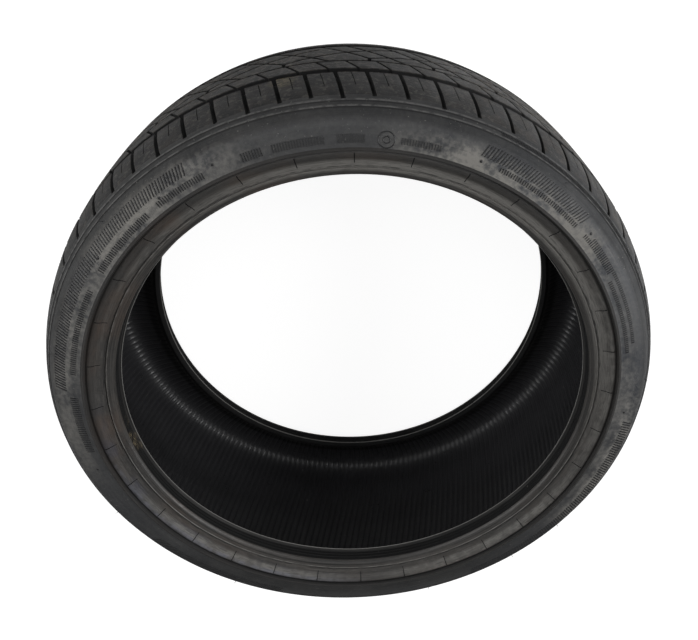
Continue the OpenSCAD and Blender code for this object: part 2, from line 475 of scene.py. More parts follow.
@dataclass
class Casing:
    """The moulded tyre itself: a ring from the section, with the tread pattern cut into it."""

    section: Section
    plan: PatternPlan = field(default_factory=PatternPlan)
    steps: int = 192
    slot: Cut = Cut(3.9, 6.5)
    sipe: Cut = Cut(0.7, 3.0, 0.15, 1.2)
    rib_cut: Cut = Cut(2.8, 5.0, 0.35)
    branch: Cut = Cut(3.4, 5.5, 0.4)
    stem: Cut = Cut(3.6, 6.0, 0.4)
    vent_line: Cut = Cut(0.55, 0.45, 0.15, 0.8)
    slot_z: float = 54.0
    low_slot_z: float = 84.0
    slot_ends: tuple[float, float] = (0.86, 0.95)
    slot_shares: tuple[float, ...] = (0.9, 1.0, 1.0, 1.0, 1.0, 1.0, 0.8, 0.55, 0.25)
    slot_lean: float = 8.0
    slot_lean_z: float = 80.0
    sipe_z: tuple[float, float] = (58.5, 85.0)
    rib_cut_z: float = 49.5
    cut_lean: float = 26.0
    steep_lean: float = 40.0
    flat_lean: float = 68.0
    stem_foot: float = 10.0
    branch_foot: float = -35.0
    vent_lines: int = 32
    vent_turn: float = 0.8
    weld: float = 0.02
    sharp: float = 38.0

    def surface(self, path: Sequence[Point]) -> tuple[Callable[[float], tuple[Point, Point]], float]:
        """Measures a section line by distance along it.

        Args:
            path: The line's points.

        Returns:
            A function that gives place and outward normal at a distance, and the line's length.
        """
        points = np.array(path)
        run = np.concatenate([[0], np.cumsum(np.linalg.norm(np.diff(points, axis=0), axis=1))])

        def at(s: float) -> tuple[Point, Point]:
            """Finds the place and the normal.

            Args:
                s: Distance along the line.

            Returns:
                Place and outward normal, each as radius and height.
            """
            place = (np.interp(s, run, points[:, 0]), np.interp(s, run, points[:, 1]))
            low, high = max(s - 1.0, 0.0), min(s + 1.0, run[-1])
            dr = np.interp(high, run, points[:, 0]) - np.interp(low, run, points[:, 0])
            dz = np.interp(high, run, points[:, 1]) - np.interp(low, run, points[:, 1])
            size = math.hypot(dr, dz)
            return place, (dz / size, -dr / size)

        return at, run[-1]

    def cutter(self, name: str, cut: Cut, path: Sequence[Place], shares: Sequence[float]) -> bpy.types.Object:
        """Models one cutter that follows a line on the surface.

        Args:
            name: Name of the cutter.
            cut: Its cross section.
            path: Direction in degrees, place and outward normal in the section, along the line.
            shares: Share of the full depth at each point.

        Returns:
            The cutter, as a closed bar.
        """
        spots, normals = [], []
        for direction, (r, z), (nr, nz) in path:
            turn = turn_to(direction)
            spots.append(turn @ Vector((0, r, z)))
            normals.append(turn @ Vector((0, nr, nz)))
        outlines = []
        for i, (spot, normal) in enumerate(zip(spots, normals)):
            along = (spots[min(i + 1, len(spots) - 1)] - spots[max(i - 1, 0)]).normalized()
            across = along.cross(normal).normalized()
            outlines.append([(spot + across * u + normal * v) * MM for u, v in cut.outline(shares[i])])
        return sweep(name, outlines)

    def crown_line(self, z1: float, z2: float, lean: float, steps: int) -> list[Place]:
        """Finds a leaning line on the tread, starting at direction 0.

        Args:
            z1: Height where it starts.
            z2: Height where it ends.
            lean: Its lean in degrees.
            steps: Number of its stretches.

        Returns:
            Direction, place and outward normal along the line.
        """
        line = []
        for z in np.linspace(z1, z2, steps + 1):
            turn = math.degrees((z - z1) * math.tan(math.radians(lean)) / self.section.tread_r)
            slope = self.section.crown_r(z + 0.5) - self.section.crown_r(z - 0.5)
            size = math.hypot(1.0, slope)
            line.append((turn, (self.section.crown_r(z), z), (1.0 / size, -slope / size)))
        return line

    def shoulder_line(self, z1: float, end: float) -> list[Place]:
        """Finds the line of a slot from the tread over the shoulder.

        Args:
            z1: Height on the tread where it starts.
            end: Place on the shoulder where it ends.

        Returns:
            Direction, place and outward normal along the line.
        """
        wall = [self.section.shoulder_at(t) for t in np.linspace(1.0, end, 5)]
        at, length = self.surface(self.section.crown(z1, self.section.tread_z, 12)[:-1] + wall)
        line = []
        for s in (*np.linspace(0, length * 0.7, 6), *np.linspace(length * 0.8, length, 3)):
            (r, z), normal = at(s)
            aside = (z - self.slot_lean_z) * math.tan(math.radians(self.slot_lean))
            line.append((math.degrees(aside / self.section.tread_r), (r, z), normal))
        return line

    def shoulder_cuts(self) -> list[bpy.types.Object]:
        """Models the slots and sipes of both shoulders.

        Returns:
            The cutters. Every third slot runs farther down the shoulder.
        """
        plan, tools = self.plan, []
        longer = [i for i in plan.places() if i % 3 == 0]
        shorter = [i for i in plan.places() if i % 3 != 0]
        for end, numbers in zip(self.slot_ends, (longer, shorter)):
            turns = [turn_to(plan.pitch_at(i)) for i in numbers]
            flipped = [FLIP @ turn for turn in turns]
            for start, places in ((self.slot_z, turns), (self.low_slot_z, flipped)):
                slot = self.cutter("slot", self.slot, self.shoulder_line(start, end), self.slot_shares)
                tools += copy_turned(slot, places)
        line = self.crown_line(*self.sipe_z, self.slot_lean, 5)
        sipe = self.cutter("sipe", self.sipe, line, [1, 1, 1, 1, 1, 0.7])
        turns = [turn_to(plan.pitch_at(i + 0.5) - 0.5) for i in plan.places()]
        return tools + copy_turned(sipe, turns + [FLIP @ turn for turn in turns])

    def rib_cuts(self) -> list[bpy.types.Object]:
        """Models the cuts of the rib between the inner and the upper outer groove.

        Returns:
            The cutters.
        """
        line = self.crown_line(self.section.inner_groove_z + 1.2, self.rib_cut_z, self.cut_lean, 5)
        rib_cut = self.cutter("rib_cut", self.rib_cut, line, [1.0, 1.0, 1.0, 1.0, 0.9, 0.8])
        return copy_turned(rib_cut, [turn_to(self.plan.pitch_at(i - 0.55) - 1.1) for i in self.plan.places()])

    def bead_lines(self) -> list[bpy.types.Object]:
        """Models the fine vent lines that cross both bead faces.

        Returns:
            The cutters.
        """
        at, length = self.surface([p for p in self.section.bead() if p[0] > self.section.seat_r + 12])
        line = [(0.0, *at(s)) for s in np.linspace(0, length - 1.5, 6)]
        for i, (turn, place, normal) in enumerate(line):
            line[i] = (turn, place, (-normal[0], -normal[1]) if normal[1] < 0 else normal)
        mark = self.cutter("vent_line", self.vent_line, line, [0.5, 1.0, 1.0, 1.0, 1.0, 1.0])
        for side in mark.data.polygons:
            side.material_index = Region.BEAD.value
        turns = [turn_to(self.vent_turn + i * 360 / self.vent_lines) for i in range(self.vent_lines)]
        return copy_turned(mark, turns + [FLIP @ turn for turn in turns])

    def branch_cuts(self) -> list[list[bpy.types.Object]]:
        """Models the branching grooves of the middle.

        Returns:
            The cutters, in sets that keep clear within themselves.
        """
        plan, section = self.plan, self.section
        low = -(section.outer_groove_z - section.outer_groove_w / 2) - 2.0
        top = section.inner_groove_z - 1.0
        stems = [turn_to(plan.branch_at(i)) for i in range(plan.branches)]
        between = [turn_to(plan.branch_at(i + 0.5)) for i in range(plan.branches)]
        steep_line = self.crown_line(self.stem_foot, low, self.steep_lean, 9)
        high_line = self.crown_line(top, low, self.steep_lean, 10)
        flat_line = self.crown_line(self.stem_foot, self.branch_foot, -self.flat_lean, 12)
        stem_line = self.crown_line(top, self.stem_foot - 1.5, 0.0, 3)
        steep = self.cutter("steep", self.branch, steep_line, [1] * 10)
        steep_high = self.cutter("steep_high", self.branch, high_line, [1] * 11)
        flat = self.cutter("flat", self.branch, flat_line, [1] * 12 + [0.8])
        stem = self.cutter("stem", self.stem, stem_line, [1, 1, 0.95, 0.8])
        steeps = copy_turned(steep, stems) + copy_turned(steep_high, between)
        return [steeps, copy_turned(flat, stems), copy_turned(stem, stems)]

    def ring(self) -> bpy.types.Object:
        """Models the plain ring by spinning the section about the axis.

        Returns:
            The ring, with a material number on each face.
        """
        outline = self.section.outline()
        bpy.ops.object.select_all(action="DESELECT")
        bpy.ops.mesh.primitive_circle_add(vertices=len(outline), radius=MM, fill_type="NOTHING")
        obj = bpy.context.object
        obj.name = obj.data.name = "casing"
        for vert, ((r, z), _) in zip(obj.data.vertices, outline):
            vert.co = (r * MM, 0.0, z * MM)
        bpy.ops.object.mode_set(mode="EDIT")
        bpy.ops.mesh.select_all(action="SELECT")
        turn = {"angle": 2 * math.pi, "center": (0, 0, 0), "axis": (0, 0, 1)}
        bpy.ops.mesh.spin(steps=self.steps, use_auto_merge=True, **turn)
        bpy.ops.mesh.select_all(action="SELECT")
        bpy.ops.mesh.remove_doubles(threshold=self.weld * MM)
        bpy.ops.mesh.normals_make_consistent(inside=False)
        bpy.ops.object.mode_set(mode="OBJECT")
        self.number_regions(obj, outline)
        return obj

    def number_regions(self, obj: bpy.types.Object, outline: Sequence[tuple[Point, Region]]) -> None:
        """Gives each face of the ring the number of its region.

        Args:
            obj: The ring.
            outline: The section that it was spun from.
        """
        centres = np.empty(len(obj.data.polygons) * 3)
        obj.data.polygons.foreach_get("center", centres)
        centres = centres.reshape(-1, 3) / MM
        spread = math.cos(math.pi / self.steps)
        flat = np.stack([np.hypot(centres[:, 0], centres[:, 1]) / spread, centres[:, 2]], 1)
        places = np.array([p for p, _ in outline])
        middles = (places + np.roll(places, -1, axis=0)) / 2
        numbers = np.array([region.value for _, region in outline])
        nearest = np.array([np.argmin(((middles - spot) ** 2).sum(1)) for spot in flat])
        obj.data.polygons.foreach_set("material_index", numbers[nearest].astype(np.int32))

    def subtract(self, obj: bpy.types.Object, tools: Sequence[bpy.types.Object]) -> None:
        """Cuts a set of tools out of the ring.

        Args:
            obj: The ring.
            tools: The cutters, which are used up.
        """
        tool = join(tools, "cutters")
        select_only(obj)
        bpy.ops.object.modifier_add(type="BOOLEAN")
        modifier = obj.modifiers[-1]
        modifier.operation = "DIFFERENCE"
        modifier.solver = "MANIFOLD"
        modifier.object = tool
        bpy.ops.object.modifier_apply(modifier=modifier.name)
        bpy.data.objects.remove(tool)

    def weld_slivers(self, obj: bpy.types.Object) -> None:
        """Merges the shortest edges and flat faces that the cuts leave.

        Args:
            obj: The cut ring.
        """
        select_only(obj)
        bpy.ops.object.mode_set(mode="EDIT")
        bpy.ops.mesh.select_all(action="SELECT")
        bpy.ops.mesh.remove_doubles(threshold=self.weld * MM)
        bpy.ops.mesh.dissolve_degenerate(threshold=self.weld * MM)
        bpy.ops.object.mode_set(mode="OBJECT")

    def build(self, finishes: Sequence[bpy.types.Material]) -> bpy.types.Object:
        """Builds and dresses the casing.

        Args:
            finishes: One material for each region, in the order of Region.

        Returns:
            The finished piece.
        """
        obj = self.ring()
        for finish in finishes:
            obj.data.materials.append(finish)
        before = len(obj.data.polygons)
        # the cutters of each set keep clear of one another, as the solver asks for
        fine = self.shoulder_cuts() + self.rib_cuts() + self.bead_lines()
        for tools in [fine, *self.branch_cuts()]:
            self.subtract(obj, tools)
        self.weld_slivers(obj)
        LOG.info("casing: %d faces on the ring, %d with its pattern", before, len(obj.data.polygons))
        smooth(obj, self.sharp)
        return obj


@dataclass
class LinerRibs:
    """Fine rounded ribs that run across the inside of the casing from bead to bead."""

    section: Section
    count: int = 256
    width: float = 5.6
    height: float = 0.7
    sink: float = 0.4
    edge_h: float = 0.1
    lean: float = 3.0
    fade_from: float = 0.35
    fade_points: int = 2
    sharp: float = 50.0

    def outline(self, half: float, fade: float) -> list[Point]:
        """Outlines a rib.

        Args:
            half: Half of its width.
            fade: Share of its full height.

        Returns:
            Distance across and height of each point.
        """
        left = [(-half, -self.sink), (-half, self.edge_h), (-half * 0.72, self.height * 0.75 * fade)]
        return left + [(0.0, self.height * fade)] + [(-across, height) for across, height in reversed(left)]

    def build(self, finish: bpy.types.Material) -> bpy.types.Object:
        """Builds the ribs.

        Args:
            finish: Their material.

        Returns:
            All ribs as one piece.
        """
        inside = self.section.liner()[:-2]
        path = [(r, -z) for r, z in reversed(inside[1:])] + inside
        last = len(path) - 1
        outlines = []
        for i, (r, z) in enumerate(path):
            ahead, behind = path[min(i + 1, last)], path[max(i - 1, 0)]
            dr, dz = ahead[0] - behind[0], ahead[1] - behind[1]
            size = math.hypot(dr, dz)
            spot, normal = Vector((0, r, z)), Vector((0, -dz / size, dr / size))
            turn = turn_to(self.lean * z / self.section.tread_z)
            fade = min(1.0, self.fade_from + (1.0 - self.fade_from) * min(i, last - i) / self.fade_points)
            shape = self.outline(self.width / 2 * r / self.section.tread_r, fade)
            outlines.append([turn @ (spot + Vector((u, 0, 0)) + normal * v) * MM for u, v in shape])
        turns = [turn_to(i * 360 / self.count) for i in range(self.count)]
        obj = join(copy_turned(sweep("liner_rib", outlines), turns), "liner_ribs")
        obj.data.materials.append(finish)
        smooth(obj, self.sharp)
        return obj


@dataclass(frozen=True)
class BarStyle:
    """Look of the bars in a run: spacing and lean in degrees, width in millimetres."""

    pitch: float
    width: float
    lean: float = 0.0


@dataclass
class WallHatching:
    """Plain raised bars on the side walls, ring marks, round dots and the fine hatching of the shoulder.

    Each run of bars goes from a first to a last direction and from a low to a high radius.
    """

    section: Section
    height: float = 0.5
    sink: float = 0.35
    top_share: float = 0.75
    runs: tuple[tuple[BarStyle, tuple[Run, ...]], ...] = (
        (
            BarStyle(0.62, 1.25, 18),
            (
                (-84, -29, 288.2, 298.6),
                (24, 48, 286.5, 297.5),
                (99, 154, 288.0, 298.6),
                (-160, -128, 288.0, 298.0),
            ),
        ),
        (
            BarStyle(0.5, 0.9),
            (
                (-100, -86, 277.5, 285.5),
                (-80, -60, 277.5, 283.0),
                (-55, -40, 277.0, 283.0),
                (-37, -27, 278.0, 283.5),
                (-19.2, -15.6, 277.5, 285.0),
                (-13.6, -4.4, 277.5, 284.5),
                (-2.0, 2.6, 277.5, 285.0),
                (9.2, 16.4, 278.5, 284.0),
                (28, 47, 280.0, 284.5),
                (50, 60, 280.5, 284.5),
                (62, 80, 277.5, 281.5),
                (52, 78, 284.8, 288.4),
            ),
        ),
        (BarStyle(0.3, 0.5), ((26, 78, 307.4, 309.2),)),
    )
    rings: tuple[tuple[float, float, float], ...] = ((6.5, 281.0, 7.2), (6.5, 281.0, 3.0))
    ring_t: float = 0.5
    dots: tuple[tuple[float, float], ...] = (
        (-53, 288), (-36, 285), (-24.5, 285.5), (24, 282), (50.5, 288), (96, 285), (-105, 285),
    )
    dot_r: float = 1.5
    dot_h: float = 0.35
    sharp: float = 35.0

    def bar(self, style: BarStyle, low_r: float, high_r: float) -> bpy.types.Object:
        """Models one bar at direction 0.

        Args:
            style: Its style.
            low_r: Radius where it starts.
            high_r: Radius where it ends.

        Returns:
            The bar.
        """
        half, top, lean = style.width / 2, self.height, math.tan(math.radians(style.lean))
        top_half = half * self.top_share
        shape = [(-half, -self.sink), (-top_half, top), (top_half, top), (half, -self.sink)]
        outlines = []
        for r in np.linspace(low_r, high_r, 4):
            z, aside = self.section.wall_at(r), (r - (low_r + high_r) / 2) * lean
            normal = Vector((0, -self.section.wall_rise(r, 0.5), 1.0)).normalized()
            outlines.append([(Vector((u + aside, r, z)) + normal * v) * MM for u, v in shape])
        return sweep("bar", outlines)

    def seat(self, direction: float, r: float) -> Matrix:
        """Returns the place of a mark on the side wall as a matrix."""
        return turn_to(direction) @ Matrix.Translation(Vector((0, r, self.section.wall_at(r))) * MM)

    def ring_mark(self, direction: float, r: float, radius: float) -> bpy.types.Object:
        """Models a plain raised ring that follows the slope of the side wall.

        Args:
            direction: Direction of its middle in degrees.
            r: Radius of its middle from the axis of the tyre.
            radius: Its own radius.

        Returns:
            The ring.
        """
        bpy.ops.object.select_all(action="DESELECT")
        size = {"major_radius": radius * MM, "minor_radius": self.ring_t * MM}
        bpy.ops.mesh.primitive_torus_add(major_segments=36, minor_segments=8, **size)
        obj = bpy.context.object
        tilt = Matrix.Rotation(math.atan2(self.section.wall_rise(r, 1), 2.0), 4, "X")
        obj.data.transform(self.seat(direction, r) @ tilt)
        return obj

    def dot(self, direction: float, r: float) -> bpy.types.Object:
        """Models a small round raised dot.

        Args:
            direction: Its direction in degrees.
            r: Its radius from the axis of the tyre.

        Returns:
            The dot.
        """
        bpy.ops.object.select_all(action="DESELECT")
        bpy.ops.mesh.primitive_uv_sphere_add(segments=16, ring_count=8, radius=self.dot_r * MM)
        obj = bpy.context.object
        obj.data.transform(self.seat(direction, r) @ Matrix.Diagonal((1, 1, self.dot_h, 1)))
        return obj

    def build(self, finish: bpy.types.Material) -> bpy.types.Object:
        """Builds the bars of both side walls, and the rings and dots of the upper one.

        Args:
            finish: Their material.

        Returns:
            All marks as one piece.
        """
        marks = []
        for style, runs in self.runs:
            for first, last, low_r, high_r in runs:
                count = int((last - first) / style.pitch) + 1
                turns = [turn_to(first + i * style.pitch) for i in range(count)]
                marks += copy_turned(self.bar(style, low_r, high_r), turns + [FLIP @ turn for turn in turns])
        marks += [self.ring_mark(*place) for place in self.rings]
        marks += [self.dot(*place) for place in self.dots]
        obj = join(marks, "wall_hatching")
        obj.data.materials.append(finish)
        smooth(obj, self.sharp)
        return obj


@dataclass
class VentHairs:
    """Thin rubber hairs left by the vents of the mould."""

    section: Section
    radius: float = 0.35
    length: float = 3.6
    bow: float = 1.6
    rise: float = 0.7
    thinning: float = 0.55
    stretches: int = 5
    sides: int = 6
    seed: int = 5
    foot: float = 0.4
    sharp: float = 60.0
    directions: tuple[float, ...] = (
        144.0, 131.0, 88.5, 40.0, 18.0, -21.0, -47.0, -77.0, -118.0, 165.0, -150.0,
    )

    def hair(self, bow: float) -> bpy.types.Object:
        """Models one bowed hair that stands on the shoulder at direction 0.

        Args:
            bow: How far its tip lies aside.

        Returns:
            The hair.
        """
        foot_r, foot_z = self.section.shoulder_at(self.foot)
        angles = np.linspace(0, 2 * math.pi, self.sides + 1)[:-1]
        ring = [Vector((math.cos(a), math.sin(a) * self.rise, -math.sin(a) * self.rise)) for a in angles]
        outlines = []
        for i in range(self.stretches + 1):
            t = i / self.stretches
            up, size = self.length * t * self.rise, self.radius * (1.0 - self.thinning * t)
            spot = Vector((bow * t * t, foot_r - 0.3 + up, foot_z + up))
            outlines.append([(spot + out * size) * MM for out in ring])
        return sweep("hair", outlines)

    def build(self, finish: bpy.types.Material) -> bpy.types.Object:
        """Builds the hairs.

        Args:
            finish: Their material.

        Returns:
            All hairs as one piece.
        """
        draw = random.Random(self.seed)
        hairs = []
        for direction in self.directions:
            hairs += copy_turned(self.hair(draw.uniform(-self.bow, self.bow)), [turn_to(direction)])
        obj = join(hairs, "vent_hairs")
        obj.data.materials.append(finish)
        smooth(obj, self.sharp)
        return obj


def math_method(operation: str, swapped: bool = False) -> Callable[["Value", Any], "Value"]:
    """Makes an operator of Value.

    Args:
        operation: The operation of the Math node.
        swapped: Whether the other term comes first, for a reflected operator.

    Returns:
        The method.
    """

    def method(self: "Value", other: Any) -> "Value":
        """Returns the result of a Math node on both terms."""
        terms = (other, self) if swapped else (self, other)
        return self.shader.node("ShaderNodeMath", {"operation": operation}, dict(enumerate(terms)))

    return method


@dataclass(frozen=True)
class Value:
    """One output socket, with arithmetic that adds Math nodes."""

    shader: "Shader"
    socket: bpy.types.NodeSocket

    __add__ = math_method("ADD")
    __radd__ = math_method("ADD", True)
    __sub__ = math_method("SUBTRACT")
    __rsub__ = math_method("SUBTRACT", True)
    __mul__ = math_method("MULTIPLY")
    __rmul__ = math_method("MULTIPLY", True)
    __truediv__ = math_method("DIVIDE")
    __rtruediv__ = math_method("DIVIDE", True)
    __pow__ = math_method("POWER")

    def absolute(self) -> "Value":
        """Returns the size without its sign."""
        return self.shader.node("ShaderNodeMath", {"operation": "ABSOLUTE"}, {0: self})

    def step(self, low: float, high: float) -> "Value":
        """Returns a smooth rise from 0 at low to 1 at high."""
        inputs = {"Value": self, "From Min": low, "From Max": high}
        return self.shader.node("ShaderNodeMapRange", {"interpolation_type": "SMOOTHSTEP"}, inputs)


class Shader:
    """A node material whose nodes are made by one method, and whose colour takes one coat after another."""

    def __init__(self, name: str, colour: Colour) -> None:
        """Starts a material with a Principled shader.

        Args:
            name: Its name.
            colour: The colour below all coats.
        """
        self.material = bpy.data.materials.new(name)
        self.material.use_nodes = True
        self.tree = self.material.node_tree
        self.surface = self.tree.nodes["Principled BSDF"]
        self.colour: Any = (*colour, 1)
        self.object = self.node("ShaderNodeTexCoord", {}, {}, "Object")
        parts = self.node("ShaderNodeSeparateXYZ", {}, {0: self.object})
        x, y, self.height = (Value(self, output) for output in parts.socket.node.outputs)
        self.radius = (x * x + y * y) ** 0.5
        self.across, self.ahead = x / self.radius, y / self.radius

    def link(self, value: Any, socket: bpy.types.NodeSocket) -> None:
        """Links a value to a socket, or sets it where it is a plain number, colour or place.

        Args:
            value: The value.
            socket: The input socket.
        """
        if isinstance(value, Value):
            self.tree.links.new(value.socket, socket)
        else:
            socket.default_value = value

    def node(self, kind: str, settings: dict[str, Any], inputs: dict[Any, Any], output: Any = 0) -> Value:
        """Adds a node.

        Args:
            kind: Type of the node.
            settings: Its settings.
            inputs: Values or links for its sockets, by name or number.
            output: Name or number of the output that is wanted.

        Returns:
            That output.
        """
        made = self.tree.nodes.new(kind)
        for key, setting in settings.items():
            setattr(made, key, setting)
        for key, value in inputs.items():
            self.link(value, made.inputs[key])
        return Value(self, made.outputs[output])

    def feed(self, **inputs: Any) -> None:
        """Sets or links inputs of the Principled shader, with underscores for spaces."""
        for key, value in inputs.items():
            self.link(value, self.surface.inputs[key.replace("_", " ")])

    def coat(self, share: Any, tint: Colour) -> None:
        """Lays a tint over the colour, by a mask."""
        inputs = {0: share, 6: self.colour, 7: (*tint, 1)}
        self.colour = self.node("ShaderNodeMix", {"data_type": "RGBA"}, inputs, 2)

    def noise(self, scale: float, detail: float) -> Value:
        """Returns a noise on the object's own places."""
        return self.node("ShaderNodeTexNoise", {}, {"Vector": self.object, "Scale": scale, "Detail": detail})

    def cloud(self, scale: float, detail: float, low: float, high: float) -> Value:
        """Returns a mask of patches: a noise that counts from low on and is full at high."""
        return self.noise(scale, detail).step(low, high)

    def streaks(self, fine: float, long: float) -> Value:
        """Stretches a noise round the tyre.

        Args:
            fine: How close the streaks lie, along radius and height.
            long: How often they change round the tyre.

        Returns:
            The noise, in four dimensions.
        """
        turning = {0: self.across * long, 1: self.ahead * long, 2: self.radius * fine}
        ring = self.node("ShaderNodeCombineXYZ", {}, turning)
        inputs = {"Vector": ring, "Scale": 1.0, "Detail": 3.0, "W": self.height * fine}
        return self.node("ShaderNodeTexNoise", {"noise_dimensions": "4D"}, inputs)

    def beam(self, direction: float, spread: float) -> Value:
        """Masks one side of the tyre.

        Args:
            direction: Direction in degrees from +Y to +X.
            spread: Angle over which the mask fades out.

        Returns:
            The mask, 1 in the direction itself.
        """
        a = math.radians(direction)
        near = self.across * math.sin(a) + self.ahead * math.cos(a)
        return near.step(math.cos(math.radians(spread)), 1.0)

    def beams(self, rows: Iterable[Beam]) -> Value:
        """Returns the sum of several beams, each of them times its strength."""
        return sum((self.beam(direction, spread) * strength for direction, spread, strength in rows), 0.0)

    def band(self, r: float, half: float) -> Value:
        """Returns a mask that is 1 at a radius and fades out on both sides of it."""
        return 1.0 - (self.radius - r).absolute().step(half * 0.4, half)

    def spot(self, direction: float, r: float, z: float, size: float) -> Value:
        """Masks one place.

        Args:
            direction: Its direction in degrees.
            r: Its radius.
            z: Its height.
            size: Distance over which the mask fades out.

        Returns:
            The mask, 1 at the place itself.
        """
        a = math.radians(direction)
        inputs = {0: self.object, 1: (r * math.sin(a), r * math.cos(a), z)}
        away = self.node("ShaderNodeVectorMath", {"operation": "DISTANCE"}, inputs, "Value")
        return 1.0 - away.step(size * 0.3, size)


@dataclass(frozen=True)
class Rubber:
    """Moulded rubber: black base with slow changes of tone, rubbed streaks round the tyre and a fine skin."""

    name: str
    base: Colour
    pale: Colour
    rough: float
    streak_share: float
    skin: float
    gloss: float = 0.5
    skin_depth: float = 0.0008

    def shade(self, share: float) -> Colour:
        """Returns the base colour at a share of its brightness."""
        return tuple(part * share for part in self.base)

    def clean(self, shader: Shader) -> None:
        """Lays the tones and streaks of clean rubber.

        Args:
            shader: The shader that takes them.
        """
        shader.coat(shader.cloud(14.0, 4.0, 0.3, 0.7) * 0.6, self.shade(0.6))
        shader.coat(shader.cloud(430.0, 4.0, 0.38, 0.66) * 0.4, self.shade(0.35))
        shader.coat(shader.streaks(300.0, 1.4).step(0.4, 0.72) * self.streak_share, self.pale)

    def dirt_and_painted_light(self, shader: Shader) -> Value:
        """Lays thin dust.

        Args:
            shader: The shader that takes it.

        Returns:
            How much the dirt dulls each place.
        """
        dust = shader.cloud(160.0, 5.0, 0.5, 0.8) * 0.25
        shader.coat(dust, self.pale)
        return dust

    def material(self) -> bpy.types.Material:
        """Builds the node material.

        Returns:
            The material.
        """
        shader = Shader(self.name, self.base)
        self.clean(shader)
        dust = self.dirt_and_painted_light(shader)
        streak, rubbed, fine = shader.streaks(900.0, 3.0), shader.noise(38.0, 4.0), shader.noise(700.0, 4.0)
        rough = self.rough + (streak - 0.5) * 0.3 + (rubbed - 0.5) * 0.35 + (fine - 0.5) * 0.2 + dust * 0.25
        height = fine * 0.9 + streak * 0.7 + rubbed * 2.0
        relief = {"Strength": self.skin, "Distance": self.skin_depth, "Height": height}
        bump = shader.node("ShaderNodeBump", {}, relief)
        shader.feed(Base_Color=shader.colour, Roughness=rough, Normal=bump, Specular_IOR_Level=self.gloss)
        return shader.material


@dataclass(frozen=True)
class TreadRubber(Rubber):
    """Tread rubber: brown road dust on the crown, worn block edges, painted shade on one side, black grooves
    that are partly painted shade, and a trace of straw.
    """

    brown: Colour = (0.084, 0.069, 0.055)
    worn: Colour = (0.130, 0.118, 0.102)
    straw: Colour = (0.230, 0.190, 0.110)
    fall: float = 0.0107
    edge_z: float = 0.1
    top_r: float = 0.3235
    dusty: tuple[Beam, ...] = (
        (66.0, 62.0, 0.8), (-48.0, 60.0, 0.25), (-124.0, 36.0, 1.1), (136.0, 30.0, 1.0),
    )
    dusty_all: float = 0.14

    def dirt_and_painted_light(self, shader: Shader) -> Value:
        """Lays painted shade on two sides, brown dust on the blocks, a paler tone on their edges and black in
        the grooves, partly painted shade.

        Args:
            shader: The shader that takes them.

        Returns:
            How much the dirt dulls each place.
        """
        a = shader.height / self.edge_z
        depth = self.top_r - self.fall * (a**2.0 * 0.3 + a**2.0 * a**2.0 * 0.7) - shader.radius
        inside = depth.step(0.0001, 0.0009)
        crown = 1.0 - shader.height.step(0.01, 0.058)
        side = shader.beams(self.dusty) + self.dusty_all
        dust = shader.cloud(80.0, 6.0, 0.42, 0.62) * side * (crown * 0.25 + 0.28)
        # painted shade: the tread darker towards the upper left, and the crown darker on the right
        shader.coat(shader.beam(-26.0, 95.0) * 0.92, self.shade(0.15))
        shader.coat(shader.beam(92.0, 34.0) * crown * 0.8, self.shade(0.2))
        shader.coat(dust, self.brown)
        shader.coat(shader.cloud(240.0, 6.0, 0.5, 0.66) * (crown * side * 0.55 + 0.2), self.worn)
        lip = depth.step(0.00005, 0.0003) * shader.cloud(120.0, 4.0, 0.4, 0.6)
        shader.coat(lip * 0.3, self.worn)
        fibre = shader.streaks(2400.0, 60.0).step(0.47, 0.62)
        shader.coat(shader.spot(-10.5, 0.3215, 0.064, 0.017) * fibre * 0.5, self.straw)
        # black inside the grooves: partly the clean rubber there, partly painted shade
        shader.coat(inside, BLACK)
        return dust + inside + shader.beam(-30.0, 50.0) * 0.8


